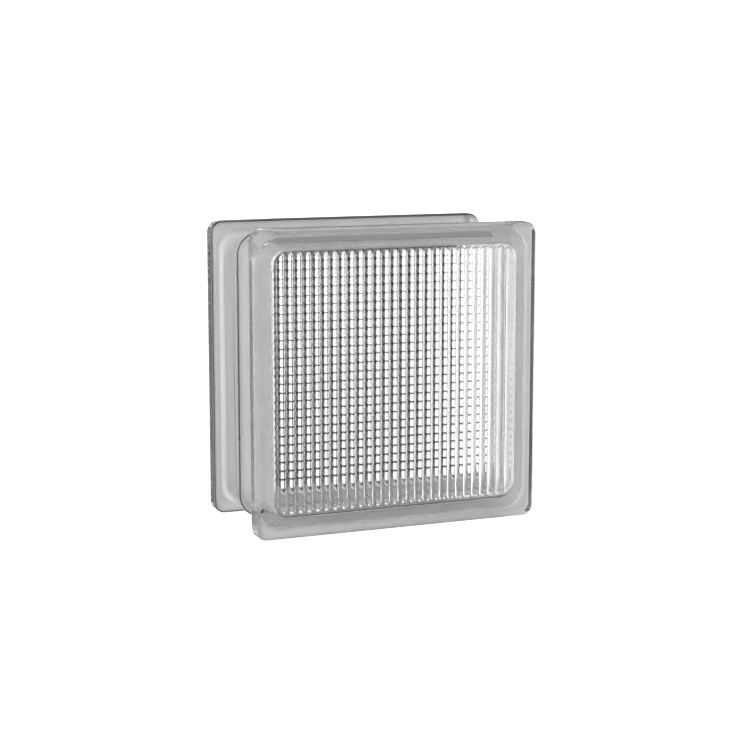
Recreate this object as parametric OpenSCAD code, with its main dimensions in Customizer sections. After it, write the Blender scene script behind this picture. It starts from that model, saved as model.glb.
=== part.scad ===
// Hollow pressed-glass building block with a cross-reeded pattern.
// Two pressed halves are fused at the middle of the depth into one piece of glass
// around a sealed hollow. Vertical reeds line the front pane, level reeds the rear pane.
// It stands on its lower flange edges: X is the width, Y the depth, Z the height, and the
// front face looks along -Y. The origin is the middle of the footprint.

/* [Block] */
// Width of the block over the flanges
block_w = 197; // [140:1:300]
// Height of the block over the flanges
block_h = 197; // [140:1:300]
// Depth of the block from face to face
block_d = 98; // [76:1:120]

/* [Flanges] */
// Thickness of the flange behind each face
flange_t = 12; // [9:0.5:15]
// Radius of the four corners of each flange
flange_corner_r = 8; // [6:0.5:14]
// Rounding along the edge of each face
face_edge_r = 4; // [1:0.25:4.5]
// Rounding along the inner edge of each flange
lip_edge_r = 2.5; // [1:0.25:3]

/* [Mortar channel] */
// Depth of the mortar channel below the flange edge
channel_depth = 6; // [4.5:0.25:9]
// Radius of the corners of the walls between the flanges
wall_corner_r = 14; // [11:0.5:20]
// Hollow rounding where each flange meets the walls
root_r = 3; // [1:0.25:3]

/* [Fused seam] */
// Width of the bead along the fused seam
seam_w = 6; // [4:0.25:12]
// How far the seam bead stands out of the walls
seam_proud = 1.2; // [0.5:0.1:1.5]

/* [Hollow] */
// Thickness of each pane down to the valleys between its reeds
pane_t = 8.5; // [5:0.25:10]
// Plain border from the block's edge to the hollow, at the panes
border_w = 14; // [12.5:0.5:20]
// Thickness of the side walls at the seam
seam_wall_t = 6; // [4:0.25:8]
// Radius of the corners of the hollow at the panes
hollow_corner_r = 9; // [6:0.5:12]

/* [Reeds] */
// Spacing of the reeds, rounded so that they fill the pane
reed_pitch = 6; // [4:0.25:10]
// Plain margin between the outermost reeds and the side walls
reed_margin = 1.5; // [0.25:0.25:3]
// Height of each reed above the valleys
reed_rise = 1.2; // [0.6:0.1:1.5]

/* [Hidden] */
$fn = 96;
// small overlap that lets joined shapes share volume
lap = 0.5;

half_d = block_d / 2;
wall_w = block_w - 2 * channel_depth;
wall_h = block_h - 2 * channel_depth;
// the rounding at the root is no wider than the flat of the lip
root_fit_r = min(root_r, channel_depth - lip_edge_r);
pane_w = block_w - 2 * border_w;
pane_h = block_h - 2 * border_w;
hollow_half_d = half_d - pane_t;
// the hollow widens from the panes to the seam by this much on each side
draft = border_w - channel_depth - seam_wall_t;

reeded_w = pane_w - 2 * reed_margin;
reeded_h = pane_h - 2 * reed_margin;
reeds_across = round(reeded_w / reed_pitch);
reeds_up = round(reeded_h / reed_pitch);
pitch_across = reeded_w / reeds_across;
pitch_up = reeded_h / reeds_up;

// radius of the circle whose arc spans a chord and rises by a height above it
function arc_radius(chord, rise) = chord * chord / (8 * rise) + rise / 2;

// rounded rectangle about the origin
module rounded_plate(w, h, r) {
  square([w - 2 * r, h], center = true);
  square([w, h - 2 * r], center = true);
  for (x = [-1, 1], y = [-1, 1])
    translate([x * (w / 2 - r), y * (h / 2 - r)]) circle(r);
}

// sweeps a profile round a rounded rectangle: profile x runs outward from its edge,
// profile y runs along Z, and the profile reaches inward no further than r
module swept_round(w, h, r) {
  cx = w / 2 - r;
  cy = h / 2 - r;
  for (side = [0, 1]) {
    rotate([0, 0, 180 * side]) {
      translate([cx + r, cy, 0]) rotate([90, 0, 0]) linear_extrude(2 * cy) children();
      translate([-cx, cy + r, 0]) rotate([90, 0, 90]) linear_extrude(2 * cx) children();
      translate([cx, cy, 0]) rotate_extrude(angle = 90) translate([r, 0]) children();
      translate([-cx, cy, 0]) rotate([0, 0, 90])
        rotate_extrude(angle = 90) translate([r, 0]) children();
    }
  }
}

// what lies between two square sides meeting at the origin and the circle that rounds them
module corner_fill(r) {
  difference() {
    translate([-lap, -lap]) square(r + lap);
    translate([r, r]) circle(r);
  }
}

// edge strip of a flange: y = 0 is the lip side, y = flange_t the face side
module flange_profile() {
  difference() {
    translate([-flange_corner_r, 0]) square([flange_corner_r, flange_t]);
    translate([0, flange_t]) rotate(180) corner_fill(face_edge_r);
    mirror([1, 0]) corner_fill(lip_edge_r);
  }
}

module flange() {
  linear_extrude(flange_t)
    rounded_plate(block_w - 2 * face_edge_r, block_h - 2 * face_edge_r,
                  flange_corner_r - face_edge_r);
  swept_round(block_w, block_h, flange_corner_r) flange_profile();
}

module seam_bead_profile() {
  r = arc_radius(seam_w, seam_proud);
  intersection() {
    translate([seam_proud - r, 0]) circle(r);
    translate([-lap, -seam_w]) square([seam_proud + 2 * lap, 2 * seam_w]);
  }
}

// solid inside the outer surface, lying with the faces level
module outer_body() {
  linear_extrude(block_d - flange_t, center = true) rounded_plate(wall_w, wall_h, wall_corner_r);
  swept_round(wall_w, wall_h, wall_corner_r) seam_bead_profile();
  for (face = [0, 1])
    mirror([0, 0, face])
      translate([0, 0, half_d - flange_t]) {
        flange();
        mirror([0, 0, 1])
          swept_round(wall_w, wall_h, wall_corner_r) corner_fill(root_fit_r);
      }
}

// half of the hollow from the seam to one pane, narrowing with the draft
module hollow_half() {
  cx = pane_w / 2 - hollow_corner_r;
  cy = pane_h / 2 - hollow_corner_r;
  for (x = [-1, 1], y = [-1, 1])
    translate([x * cx, y * cy, 0])
      cylinder(h = hollow_half_d, r1 = hollow_corner_r + draft, r2 = hollow_corner_r);
  rotate([90, 0, 90]) linear_extrude(2 * cx, center = true) drafted_section(pane_h);
  rotate([90, 0, 0]) linear_extrude(2 * cy, center = true) drafted_section(pane_w);
}

module drafted_section(span) {
  polygon([
    [-span / 2 - draft, 0],
    [span / 2 + draft, 0],
    [span / 2, hollow_half_d],
    [-span / 2, hollow_half_d]
  ]);
}

// row of reeds on a pane: the bars run along Y and their valleys lie at z = 0
module reeds(count, pitch, len) {
  r = arc_radius(pitch, reed_rise);
  for (i = [0 : count - 1])
    translate([(i + 0.5 - count / 2) * pitch, 0, reed_rise - r])
      rotate([90, 0, 0]) cylinder(h = len, r = r, center = true);
}

module hollow() {
  difference() {
    union() {
      hollow_half();
      mirror([0, 0, 1]) hollow_half();
    }
    translate([0, 0, hollow_half_d]) mirror([0, 0, 1])
      reeds(reeds_across, pitch_across, pane_h + 2 * lap);
    translate([0, 0, -hollow_half_d]) rotate([0, 0, 90])
      reeds(reeds_up, pitch_up, pane_w + 2 * lap);
  }
}

module glass_block() {
  color([0.83, 0.85, 0.84])
    translate([0, 0, block_h / 2]) rotate([90, 0, 0])
      difference() {
        outer_body();
        hollow();
      }
}

glass_block();
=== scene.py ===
import math

import bmesh
import bpy
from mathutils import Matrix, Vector


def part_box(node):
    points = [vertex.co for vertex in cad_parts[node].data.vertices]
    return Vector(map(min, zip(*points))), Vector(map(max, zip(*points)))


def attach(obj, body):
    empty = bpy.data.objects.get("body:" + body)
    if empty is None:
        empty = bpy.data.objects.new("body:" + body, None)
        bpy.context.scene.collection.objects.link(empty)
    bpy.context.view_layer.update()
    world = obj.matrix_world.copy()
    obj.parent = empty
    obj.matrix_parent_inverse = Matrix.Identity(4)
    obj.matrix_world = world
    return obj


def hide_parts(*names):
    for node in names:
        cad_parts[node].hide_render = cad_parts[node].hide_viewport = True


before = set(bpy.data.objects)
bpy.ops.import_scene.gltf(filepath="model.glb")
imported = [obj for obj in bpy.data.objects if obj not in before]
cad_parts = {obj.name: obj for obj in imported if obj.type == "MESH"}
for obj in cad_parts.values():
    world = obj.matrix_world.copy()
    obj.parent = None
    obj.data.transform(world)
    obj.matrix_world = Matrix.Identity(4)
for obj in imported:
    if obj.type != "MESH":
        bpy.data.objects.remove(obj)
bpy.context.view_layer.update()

lowCorner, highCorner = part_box("glass_block")
halfWide = (highCorner.x - lowCorner.x) / 2
halfTall = (highCorner.z - lowCorner.z) / 2
halfDeep = (highCorner.y - lowCorner.y) / 2
midTall = (highCorner.z + lowCorner.z) / 2
mm = 0.001
# the third glass is near-black: painted shade on the lip edges and seam lines
glassSlot = {"clear": 0, "coated": 1, "paintedShade": 2, "wall": 3}  # order of the four glasses on the block
print("frame loaded, block", [round(v / mm, 1) for v in (halfWide * 2, halfDeep * 2, halfTall * 2)])


# shared mesh tools: rings of a rounded rectangle, stacked and skinned

def smoothStep(x):
    x = min(1.0, max(0.0, x))
    return x * x * (3 - 2 * x)


def ringPath(inset, radius, sideCuts, cornerCuts):
    # points go round the block seen from the front; each one keeps how far along its side it is
    wide = halfWide - inset
    tall = halfTall - inset
    points = []
    for corner in range(4):
        sx = (1, -1, -1, 1)[corner]
        sz = (1, 1, -1, -1)[corner]
        cx = sx * (wide - radius)
        cz = sz * (tall - radius)
        start = corner * math.pi / 2
        for i in range(cornerCuts + 1):
            a = start + (math.pi / 2) * i / cornerCuts
            points.append((cx + radius * math.cos(a), cz + radius * math.sin(a), 0.0))
        nextCorner = (corner + 1) % 4
        nx = (1, -1, -1, 1)[nextCorner] * (wide - radius)
        nz = (1, 1, -1, -1)[nextCorner] * (tall - radius)
        a = start + math.pi / 2
        x0 = cx + radius * math.cos(a)
        z0 = cz + radius * math.sin(a)
        x1 = nx + radius * math.cos(a)
        z1 = nz + radius * math.sin(a)
        for i in range(1, sideCuts):
            t = i / sideCuts
            points.append((x0 + (x1 - x0) * t, z0 + (z1 - z0) * t, t))
    return points


def addRing(bm, inset, radius, depth, cuts, shift=None):
    ring = []
    for x, z, t in ringPath(inset, radius, *cuts):
        y = depth + (shift(t) if shift else 0.0)
        ring.append(bm.verts.new((x, y, midTall + z)))
    return ring


def skinRings(bm, rings, slots):
    # one material slot for each band between two rings
    for near, far, slot in zip(rings, rings[1:], slots):
        count = len(near)
        for i in range(count):
            j = (i + 1) % count
            face = bm.faces.new((near[i], near[j], far[j], far[i]))
            face.material_index = slot
            face.smooth = True


# outer surface: face, rounded flange, lip, channel wall and seam bead

outer = {
    "faceEdge": 4.0 * mm,
    "flangeThick": 12.0 * mm,
    "flangeCorner": 8.0 * mm,
    "lipEdge": 2.5 * mm,
    "channelDeep": 6.0 * mm,
    "wallCorner": 14.0 * mm,
    "root": 3.0 * mm,
    "support": 0.35 * mm,
    "beadProud": 1.15 * mm,
    "beadStart": -0.9 * mm,
    "beadEnd": 7.8 * mm,
    "beadBow": 2.6 * mm,
    # number of bands at each edge of the seam bead that get the painted shade glass
    "seamShadeCuts": 3,
    "lipStart": 0.2,  # painted shade on the lip from here to the next entry, in shares of the lip's rounding past the flange
    "shadeLipEnd": 1.02,
    "frontWallCuts": (0.02, 0.35, 0.7, 0.96),
    "rearWallCuts": (0.12, 0.4, 0.7, 0.98),
    "sideCuts": 32,
    "cornerCuts": 14,
    "arcCuts": 8,
}
# how far along the bead, and how proud of the wall there
beadShape = (
    (0.0, 0.0), (0.03, 0.12), (0.07, 0.42), (0.12, 0.66), (0.2, 0.86), (0.32, 1.0), (0.45, 0.98),
    (0.58, 0.82), (0.7, 0.58), (0.8, 0.35), (0.88, 0.17), (0.95, 0.05), (1.0, 0.0),
)


def flangeRows():
    # inset from the block's edge, corner radius and depth behind the face
    s = outer
    rows = []
    cut = s["support"]
    rows.append((s["faceEdge"] + cut * 2, s["flangeCorner"] - s["faceEdge"] - cut * 2, 0.0))
    for i in range(s["arcCuts"] + 1):
        a = math.pi / 2 * i / s["arcCuts"]
        inset = s["faceEdge"] * (1 - math.sin(a))
        rows.append((inset, s["flangeCorner"] - inset, s["faceEdge"] * (1 - math.cos(a))))
    rows.append((0.0, s["flangeCorner"], s["faceEdge"] + cut))
    rows.append((0.0, s["flangeCorner"], s["flangeThick"] - s["lipEdge"] - cut))
    for i in range(s["arcCuts"] + 1):
        a = math.pi / 2 * i / s["arcCuts"]
        inset = s["lipEdge"] * (1 - math.cos(a))
        depth = s["flangeThick"] - s["lipEdge"] * (1 - math.sin(a))
        rows.append((inset, s["flangeCorner"] - inset, depth))
    for i in range(s["arcCuts"] + 1):
        a = math.pi / 2 * i / s["arcCuts"]
        inset = s["channelDeep"] - s["root"] * (1 - math.sin(a))
        depth = s["flangeThick"] + s["root"] * (1 - math.cos(a))
        rows.append((inset, s["wallCorner"] + s["channelDeep"] - inset, depth))
    return rows


def outerSurface(bm):
    s = outer
    cuts = (s["sideCuts"], s["cornerCuts"])
    rings = []
    rows = flangeRows()
    for inset, radius, depth in rows:
        rings.append(addRing(bm, inset, radius, -halfDeep + depth, cuts))
    wallStart = s["flangeThick"] + s["root"]
    for share in s["frontWallCuts"]:
        depth = -halfDeep + wallStart + share * (halfDeep - wallStart + s["beadStart"])
        rings.append(addRing(bm, s["channelDeep"], s["wallCorner"], depth, cuts))
    for share, proud in beadShape:
        inset = s["channelDeep"] - s["beadProud"] * proud
        radius = s["wallCorner"] + s["channelDeep"] - inset
        reach = lambda t, k=share: k * s["beadBow"] * math.sin(math.pi * t)
        depth = s["beadStart"] + share * (s["beadEnd"] - s["beadStart"])
        rings.append(addRing(bm, inset, radius, depth, cuts, reach))
    wallEnd = halfDeep - wallStart
    for share in s["rearWallCuts"]:
        depth = s["beadEnd"] + s["beadBow"] + share * (wallEnd - s["beadEnd"] - s["beadBow"])
        rings.append(addRing(bm, s["channelDeep"], s["wallCorner"], depth, cuts))
    for inset, radius, depth in reversed(rows):
        rings.append(addRing(bm, inset, radius, halfDeep - depth, cuts))

    # coated glass in the channel, near-black glass as painted shade on the lip edges and seam lines,
    # clear glass elsewhere
    wallReach = halfDeep - s["flangeThick"] + s["lipEdge"] * s["lipStart"]
    # the lip band up to this depth gets the near-black painted shade glass
    shadeLipReach = halfDeep - s["flangeThick"] + s["lipEdge"] * s["shadeLipEnd"]
    slots = []
    for near, far in zip(rings, rings[1:]):
        reach = max(abs(near[0].co.y), abs(far[0].co.y))
        if reach < wallReach:
            slots.append(glassSlot["coated"])
        elif reach < shadeLipReach:
            slots.append(glassSlot["paintedShade"])
        else:
            slots.append(glassSlot["clear"])
    beadFirst = len(rows) + len(s["frontWallCuts"])
    beadLast = beadFirst + len(beadShape) - 2
    # the bead's outer bands get near-black glass: painted shade that draws the dark seam lines
    for cut in range(s["seamShadeCuts"]):
        slots[beadFirst + cut] = slots[beadLast - cut] = glassSlot["paintedShade"]
    skinRings(bm, rings, slots)
    front = bm.faces.new(rings[0][::-1])
    rear = bm.faces.new(rings[-1])
    front.smooth = rear.smooth = True


# inner surface: the sealed hollow with its reeded panes

hollow = {
    "paneThick": 8.5 * mm,
    "border": 14.5 * mm,
    "edge": 1.6 * mm,
    "draft": 1.4 * mm,
    "corner": 8.5 * mm,
    "ridge": 1.0 * mm,
    "ridgeHalf": 3.0 * mm,
    "ridgeCuts": 8,
    "hold": 0.4 * mm,  # rings this far from the edge and the ridge keep them crisp
    "wallCuts": (12 * mm, 20 * mm, 30 * mm),
    "rimHold": 0.25 * mm,  # a close ring inside each rim keeps the flat margin flat
    "sideCuts": 32,
    "cornerCuts": 12,
    "arcCuts": 12,
}
reeds = {
    "count": 28,
    "field": 166.0 * mm,
    "rise": 1.2 * mm,
    "samples": 12,
    "endGap": 0.2 * mm,
    "rimClear": 0.3 * mm,
    "fade": 0.9 * mm,
    "endZone": 6.5 * mm,  # finer cuts along a reed within this distance of each end
    "endCuts": 14,
    "midCuts": 12,
}


def rimDistance(u, v, wide, tall, radius):
    # signed distance to a rounded rectangle, negative inside
    qx = abs(u) - (wide - radius)
    qz = abs(v) - (tall - radius)
    outside = math.hypot(max(qx, 0.0), max(qz, 0.0))
    return outside + min(max(qx, qz), 0.0) - radius


def reedHeight(across, along, reach):
    # ball-ended bars side by side: across counts from the middle of the pane
    pitch = reeds["field"] / reeds["count"]
    rise = reeds["rise"]
    arc = pitch * pitch / (8 * rise) + rise / 2
    place = across / pitch + reeds["count"] / 2
    off = (place - math.floor(place) - 0.5) * pitch
    tip = math.sqrt(arc * arc - (arc - rise) ** 2)
    past = max(0.0, abs(along) - (reach - reeds["endGap"] - tip))
    left = arc * arc - off * off - past * past
    if left <= 0:
        return 0.0
    return max(0.0, math.sqrt(left) - (arc - rise))


def paneSurface(bm, side, rim, rimInset, rimRadius):
    # side -1 is the front pane with upright reeds, side 1 the rear pane with level reeds
    wide = halfWide - rimInset
    tall = halfTall - rimInset
    fine = []
    total = reeds["count"] * reeds["samples"]
    for i in range(total + 1):
        fine.append(-reeds["field"] / 2 + reeds["field"] * i / total)
    coarse = []
    zone = reeds["endZone"]
    ends = reeds["endCuts"]
    mids = reeds["midCuts"]
    reach = tall if side < 0 else wide
    for i in range(ends + 1):
        coarse.append(-reach + zone * i / ends)
    for i in range(1, mids):
        coarse.append(-reach + zone + (2 * reach - 2 * zone) * i / mids)
    for i in range(ends + 1):
        coarse.append(reach - zone + zone * i / ends)
    us, vs = (fine, coarse) if side < 0 else (coarse, fine)
    floorY = side * (halfDeep - hollow["paneThick"])
    grid = {}
    for i, u in enumerate(us):
        for j, v in enumerate(vs):
            d = rimDistance(u, v, wide, tall, rimRadius)
            if d > -reeds["rimClear"]:
                continue
            across, along = (u, v) if side < 0 else (v, u)
            h = reedHeight(across, along, reach)
            h *= smoothStep((-d - reeds["rimClear"]) / reeds["fade"])
            grid[i, j] = bm.verts.new((u, floorY - side * h, midTall + v))
    for i in range(len(us) - 1):
        for j in range(len(vs) - 1):
            keys = ((i, j), (i + 1, j), (i + 1, j + 1), (i, j + 1))
            if not all(k in grid for k in keys):
                continue
            quad = [grid[k] for k in keys]
            if side < 0:
                quad.reverse()
            face = bm.faces.new(quad)
            face.smooth = True
    for key in [k for k, v in grid.items() if not v.link_faces]:
        bm.verts.remove(grid.pop(key))
    edges = list({e for v in grid.values() for e in v.link_edges if e.is_boundary})
    count = len(rim)
    for i in range(count):
        a, b = rim[i], rim[(i + 1) % count]
        edges.append(bm.edges.get((a, b)))
    made = bmesh.ops.triangle_fill(bm, use_beauty=True, use_dissolve=False, edges=edges,
                                   normal=(0, -side, 0))
    for face in made["geom"]:
        if isinstance(face, bmesh.types.BMFace):
            face.smooth = True
            if face.normal.y * -side < 0:
                face.normal_flip()


def hollowSurface(bm):
    s = hollow
    cuts = (s["sideCuts"], s["cornerCuts"])
    halfHollow = halfDeep - s["paneThick"]
    r = s["edge"]
    slope = s["draft"] / (halfHollow - r)
    rows = []
    for i in range(s["arcCuts"] + 1):
        a = math.pi / 2 * i / s["arcCuts"]
        rows.append((s["border"] - r * math.sin(a), r * (1 - math.cos(a))))
    for depth in (r + s["hold"], *s["wallCuts"], halfHollow - s["ridgeHalf"] - s["hold"]):
        rows.append((s["border"] - r - slope * (depth - r), depth))
    for i in range(s["ridgeCuts"] + 1):
        t = i / s["ridgeCuts"]
        depth = halfHollow - s["ridgeHalf"] * (1 - t)
        rows.append((s["border"] - r - slope * (depth - r) + s["ridge"] * smoothStep(t), depth))
    rings = []
    for inset, depth in rows:
        radius = s["corner"] + (s["border"] - inset)
        rings.append(addRing(bm, inset, radius, -halfHollow + depth, cuts))
    for inset, depth in reversed(rows[:-1]):
        radius = s["corner"] + (s["border"] - inset)
        rings.append(addRing(bm, inset, radius, halfHollow - depth, cuts))
    skinRings(bm, rings[::-1], [glassSlot["wall"]] * (len(rings) - 1))
    rimInset = rows[0][0]
    rimRadius = s["corner"] + (s["border"] - rimInset)
    heldInset = rimInset + s["rimHold"]
    heldRadius = rimRadius - s["rimHold"]
    for side, ring in ((-1, rings[0]), (1, rings[-1])):
        held = addRing(bm, heldInset, heldRadius, side * halfHollow, cuts)
        skinRings(bm, [ring, held] if side < 0 else [held, ring], [glassSlot["clear"]])
        paneSurface(bm, side, held, heldInset, heldRadius)


def buildBlock():
    bm = bmesh.new()
    outerSurface(bm)
    skin = list(bm.faces)
    hollowSurface(bm)
    skinSet = set(skin)
    lining = [f for f in bm.faces if f not in skinSet]
    # normals point out of the glass: away from the block outside, into the hollow inside
    bmesh.ops.recalc_face_normals(bm, faces=skin)
    bmesh.ops.recalc_face_normals(bm, faces=lining)
    bmesh.ops.reverse_faces(bm, faces=lining)
    bm.normal_update()
    mesh = bpy.data.meshes.new("glassBlock")
    bm.to_mesh(mesh)
    bm.free()
    block = bpy.data.objects.new("glassBlock", mesh)
    bpy.context.scene.collection.objects.link(block)
    return block


block = buildBlock()
print("block meshed,", sum(len(p.vertices) - 2 for p in block.data.polygons), "triangles")


# glass: one group for the pressed surface, used by all four glasses with their own values

def pressedGroup():
    group = bpy.data.node_groups.new("pressedSurface", "ShaderNodeTree")
    for name, low, high, start in (
        ("waveScale", 1.0, 400.0, 45.0),
        ("waveHeight", 0.0, 1.0, 0.1),
        ("grainScale", 1.0, 8000.0, 1500.0),
        ("grainHeight", 0.0, 1.0, 0.1),
        ("roughLow", 0.0, 1.0, 0.0),
        ("roughHigh", 0.0, 1.0, 0.05),
    ):
        socket = group.interface.new_socket(name, in_out="INPUT", socket_type="NodeSocketFloat")
        socket.min_value = low
        socket.max_value = high
        socket.default_value = start
    group.interface.new_socket("height", in_out="OUTPUT", socket_type="NodeSocketFloat")
    group.interface.new_socket("roughness", in_out="OUTPUT", socket_type="NodeSocketFloat")
    nodes = group.nodes
    links = group.links
    inputs = nodes.new("NodeGroupInput")
    outputs = nodes.new("NodeGroupOutput")
    place = nodes.new("ShaderNodeTexCoord")
    wave = nodes.new("ShaderNodeTexNoise")
    wave.inputs["Detail"].default_value = 1.0
    links.new(place.outputs["Object"], wave.inputs["Vector"])
    links.new(inputs.outputs["waveScale"], wave.inputs["Scale"])
    grain = nodes.new("ShaderNodeTexNoise")
    grain.inputs["Detail"].default_value = 2.0
    links.new(place.outputs["Object"], grain.inputs["Vector"])
    links.new(inputs.outputs["grainScale"], grain.inputs["Scale"])
    waveTall = nodes.new("ShaderNodeMath")
    waveTall.operation = "MULTIPLY"
    links.new(wave.outputs["Fac"], waveTall.inputs[0])
    links.new(inputs.outputs["waveHeight"], waveTall.inputs[1])
    both = nodes.new("ShaderNodeMath")
    both.operation = "MULTIPLY_ADD"
    links.new(grain.outputs["Fac"], both.inputs[0])
    links.new(inputs.outputs["grainHeight"], both.inputs[1])
    links.new(waveTall.outputs[0], both.inputs[2])
    links.new(both.outputs[0], outputs.inputs["height"])
    rough = nodes.new("ShaderNodeMapRange")
    links.new(wave.outputs["Fac"], rough.inputs["Value"])
    rough.inputs["From Min"].default_value = 0.3
    rough.inputs["From Max"].default_value = 0.7
    links.new(inputs.outputs["roughLow"], rough.inputs["To Min"])
    links.new(inputs.outputs["roughHigh"], rough.inputs["To Max"])
    links.new(rough.outputs["Result"], outputs.inputs["roughness"])
    return group


glass = {
    "ior": 1.52,
    "through": 1.0,
    "bumpReach": 1.0 * mm,
}
# panes and flanges
clearGlass = {
    "colour": (1.0, 1.0, 1.0, 1.0),
    "surface": {
        "waveScale": 30.0, "waveHeight": 0.25, "grainScale": 900.0, "grainHeight": 0.0,
        "roughLow": 0.0, "roughHigh": 0.01,
    },
}
# walls of the mortar channel, matte
coatedGlass = {
    "colour": (0.97, 0.97, 0.97, 1.0),
    "surface": {
        "waveScale": 30.0, "waveHeight": 0.3, "grainScale": 1400.0, "grainHeight": 0.05,
        "roughLow": 0.75, "roughHigh": 0.85,
    },
}
# side walls of the hollow, less polished than the panes
wallGlass = {
    "colour": (1.0, 1.0, 1.0, 1.0),
    "surface": {
        "waveScale": 30.0, "waveHeight": 0.1, "grainScale": 900.0, "grainHeight": 0.0,
        "roughLow": 0.2, "roughHigh": 0.25,
    },
}
# lip edges and seam lines: glass tinted near black as painted shade, standing in for the darkening
# along the long way through the glass
paintedShadeGlass = {
    "colour": (0.03, 0.03, 0.03, 1.0),
    "surface": {
        "waveScale": 30.0, "waveHeight": 0.3, "grainScale": 1400.0, "grainHeight": 0.0,
        "roughLow": 0.25, "roughHigh": 0.35,
    },
}


# the near-black glass among these paints shade into its colour
def glassMaterial(name, look, group):
    material = bpy.data.materials.new(name)
    material.use_nodes = True
    nodes = material.node_tree.nodes
    links = material.node_tree.links
    shader = nodes["Principled BSDF"]
    shader.inputs["Base Color"].default_value = look["colour"]
    shader.inputs["Metallic"].default_value = 0.0
    shader.inputs["IOR"].default_value = glass["ior"]
    shader.inputs["Transmission Weight"].default_value = glass["through"]
    pressed = nodes.new("ShaderNodeGroup")
    pressed.node_tree = group
    for key, value in look["surface"].items():
        pressed.inputs[key].default_value = value
    bump = nodes.new("ShaderNodeBump")
    bump.inputs["Strength"].default_value = 1.0
    bump.inputs["Distance"].default_value = glass["bumpReach"]
    links.new(pressed.outputs["height"], bump.inputs["Height"])
    links.new(bump.outputs["Normal"], shader.inputs["Normal"])
    links.new(pressed.outputs["roughness"], shader.inputs["Roughness"])
    return material


pressed = pressedGroup()
for name, look in (
    ("pressedGlass", clearGlass),
    ("coatedGlass", coatedGlass),
    ("paintedShadeGlass", paintedShadeGlass),
    ("wallGlass", wallGlass),
):
    block.data.materials.append(glassMaterial(name, look, pressed))  # same order as glassSlot
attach(block, "root")
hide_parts("glass_block")
print("glass materials built")


# studio: pale floor, soft light, white backdrop

studio = {
    "floorHalf": 6.0,
    "floorColour": (0.85, 0.85, 0.85, 1.0),
    "floorGlow": 0.8,
    "ambient": 0.04,
    "seenWhite": 1.1,
    # each light's azimuth from +Y towards +X and its elevation, each with half its reach and its
    # soft edge, all in degrees
    "lights": (
        {"name": "rightBox", "azimuth": (74, 22, 8), "elevation": (-3, 20, 8), "strength": 2.0},
        {"name": "leftBox", "azimuth": (-62, 28, 10), "elevation": (17, 13, 6), "strength": 1.7},
        {"name": "leftLow", "azimuth": (-60, 30, 10), "elevation": (-35, 14, 8), "strength": 1.1},
        {"name": "leftStrip", "azimuth": (-8, 5, 2), "elevation": (-3, 16, 5), "strength": 1.4},
        {"name": "rightStrip", "azimuth": (12, 6, 2), "elevation": (-3, 17, 5), "strength": 1.3},
        {"name": "rearFill", "azimuth": (25, 6, 3), "elevation": (-3, 3, 2), "strength": 0.25},
        {"name": "lowPanel", "azimuth": (28, 9, 6), "elevation": (-40, 9, 6), "strength": 0.6},
        {"name": "highFill", "azimuth": (22, 28, 10), "elevation": (20, 9, 4), "strength": 0.35},
        {"name": "topPanel", "azimuth": (0, 70, 20), "elevation": (46, 10, 5), "strength": 0.3},
        {"name": "topBox", "azimuth": (0, 180, 1), "elevation": (76, 15, 8), "strength": 0.5},
        {"name": "cameraFill", "azimuth": (-130, 50, 20), "elevation": (35, 30, 15), "strength": 1.3},
    ),
}


def buildFloor():
    bm = bmesh.new()
    half = studio["floorHalf"]
    corners = ((-1, -1), (1, -1), (1, 1), (-1, 1))
    bm.faces.new([bm.verts.new((x * half, y * half, 0.0)) for x, y in corners])
    mesh = bpy.data.meshes.new("studioFloor")
    bm.to_mesh(mesh)
    bm.free()
    floor = bpy.data.objects.new("studioFloor", mesh)
    bpy.context.scene.collection.objects.link(floor)
    material = bpy.data.materials.new("paleFloor")
    material.use_nodes = True
    shader = material.node_tree.nodes["Principled BSDF"]
    shader.inputs["Base Color"].default_value = studio["floorColour"]
    shader.inputs["Roughness"].default_value = 0.9
    shader.inputs["Specular IOR Level"].default_value = 0.0
    shader.inputs["Emission Color"].default_value = (1.0, 1.0, 1.0, 1.0)
    shader.inputs["Emission Strength"].default_value = studio["floorGlow"]
    mesh.materials.append(material)
    floor.visible_transmission = False
    floor.visible_glossy = False
    floor.visible_diffuse = False
    floor.visible_shadow = False


def mathNode(tree, operation, *values):
    node = tree.nodes.new("ShaderNodeMath")
    node.operation = operation
    for socket, value in zip(node.inputs, values):
        if isinstance(value, (int, float)):
            socket.default_value = value
        else:
            tree.links.new(value, socket)
    return node.outputs[0]


def softWindow(tree, angle, span):
    centre, half, soft = (math.radians(v) for v in span)
    turned = mathNode(tree, "SUBTRACT", angle, centre)
    wrapped = mathNode(tree, "WRAP", turned, math.pi, -math.pi)
    away = mathNode(tree, "ABSOLUTE", wrapped)
    edge = tree.nodes.new("ShaderNodeMapRange")
    edge.interpolation_type = "SMOOTHSTEP"
    tree.links.new(away, edge.inputs["Value"])
    edge.inputs["From Min"].default_value = half
    edge.inputs["From Max"].default_value = half + soft
    edge.inputs["To Min"].default_value = 1.0
    edge.inputs["To Max"].default_value = 0.0
    return edge.outputs["Result"]


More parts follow.
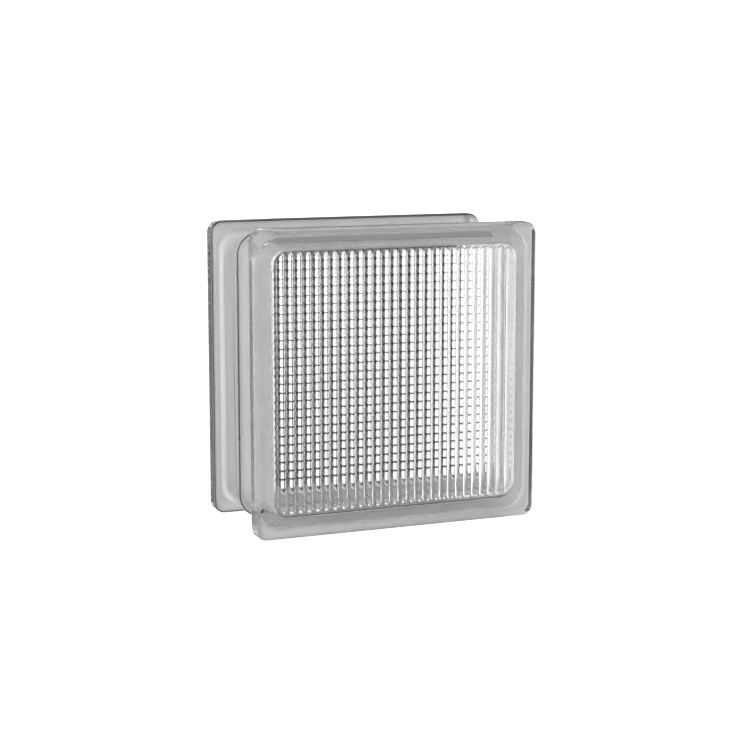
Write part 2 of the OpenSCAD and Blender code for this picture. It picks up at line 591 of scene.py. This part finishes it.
def buildWorld():
    # soft lights painted on the sky, so the glass has light and dark to bend
    world = bpy.data.worlds.new("studioWorld")
    bpy.context.scene.world = world
    world.use_nodes = True
    tree = world.node_tree
    nodes = tree.nodes
    links = tree.links
    background = nodes["Background"]
    place = nodes.new("ShaderNodeTexCoord")
    split = nodes.new("ShaderNodeSeparateXYZ")
    links.new(place.outputs["Generated"], split.inputs[0])
    azimuth = mathNode(tree, "ARCTAN2", split.outputs["X"], split.outputs["Y"])
    elevation = mathNode(tree, "ARCSINE", split.outputs["Z"])
    total = None
    for light in studio["lights"]:
        across = softWindow(tree, azimuth, light["azimuth"])
        up = softWindow(tree, elevation, light["elevation"])
        patch = mathNode(tree, "MULTIPLY", across, up)
        base = studio["ambient"] if total is None else total
        total = mathNode(tree, "MULTIPLY_ADD", patch, light["strength"], base)
    path = nodes.new("ShaderNodeLightPath")
    seen = nodes.new("ShaderNodeMix")
    links.new(path.outputs["Is Camera Ray"], seen.inputs["Factor"])
    links.new(total, seen.inputs["A"])
    seen.inputs["B"].default_value = studio["seenWhite"]
    links.new(seen.outputs["Result"], background.inputs["Strength"])
    background.inputs["Color"].default_value = (1.0, 1.0, 1.0, 1.0)


buildFloor()
buildWorld()
print("studio built")


# camera

camera = {
    "place": (-0.4632, -1.1005, 0.2809),
    "turn": 22.957,
    "dip": 8.893,
    "lens": 86.94,
    "sensor": 36.0,
    "near": 0.01,
    "far": 50.0,
}


def buildCamera():
    data = bpy.data.cameras.new("studioCamera")
    data.lens = camera["lens"]
    data.sensor_width = camera["sensor"]
    data.clip_start = camera["near"]
    data.clip_end = camera["far"]
    holder = bpy.data.objects.new("studioCamera", data)
    bpy.context.scene.collection.objects.link(holder)
    turn = math.radians(camera["turn"])
    dip = math.radians(camera["dip"])
    look = Vector((math.sin(turn) * math.cos(dip), math.cos(turn) * math.cos(dip), -math.sin(dip)))
    holder.location = camera["place"]
    holder.rotation_mode = "QUATERNION"
    holder.rotation_quaternion = look.to_track_quat("-Z", "Y")
    bpy.context.scene.camera = holder


buildCamera()

# many thin layers of glass lie behind each other, so light needs many bounces to come through
scene = bpy.context.scene
scene.view_settings.view_transform = "Standard"
scene.cycles.max_bounces = 32
scene.cycles.transmission_bounces = 32
scene.cycles.glossy_bounces = 16
print("camera and light paths set")
